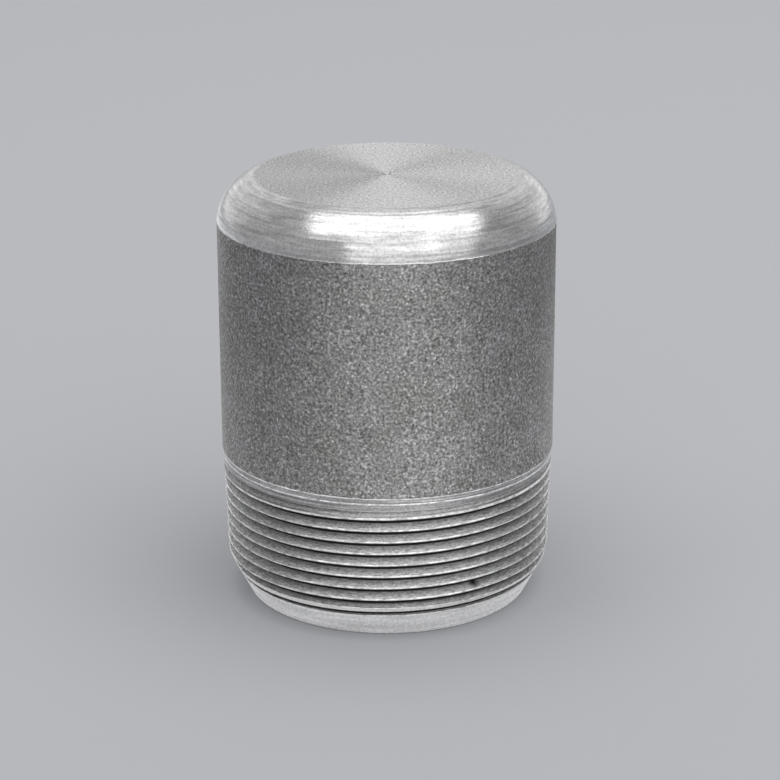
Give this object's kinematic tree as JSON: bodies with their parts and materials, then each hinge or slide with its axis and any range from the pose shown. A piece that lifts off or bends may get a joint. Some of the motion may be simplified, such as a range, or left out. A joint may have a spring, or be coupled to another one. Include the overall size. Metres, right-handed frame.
{
  "type": "round head pipe plug",
  "caption": "Solid steel round head pipe plug: domed-edge cylindrical head with a turned crown, above a male taper pipe thread with a chamfered nose.",
  "frame": {"origin": "centre of the flat nose face, at the bottom of the threaded end", "axes": "+Z along the plug's axis, from the nose towards the crown; the thread's run-out fades away on the -X side"},
  "size_m": [0.061, 0.061, 0.0782],
  "materials": {
    "plug_steel": "bare carbon steel: head side as rolled and lightly blasted, dull dark grey and fine-grained; crown, thread and nose bright machined with turning marks"
  },
  "bodies": {
    "root": {"round_head_plug": "plug_steel"}
  },
  "joints": []
}
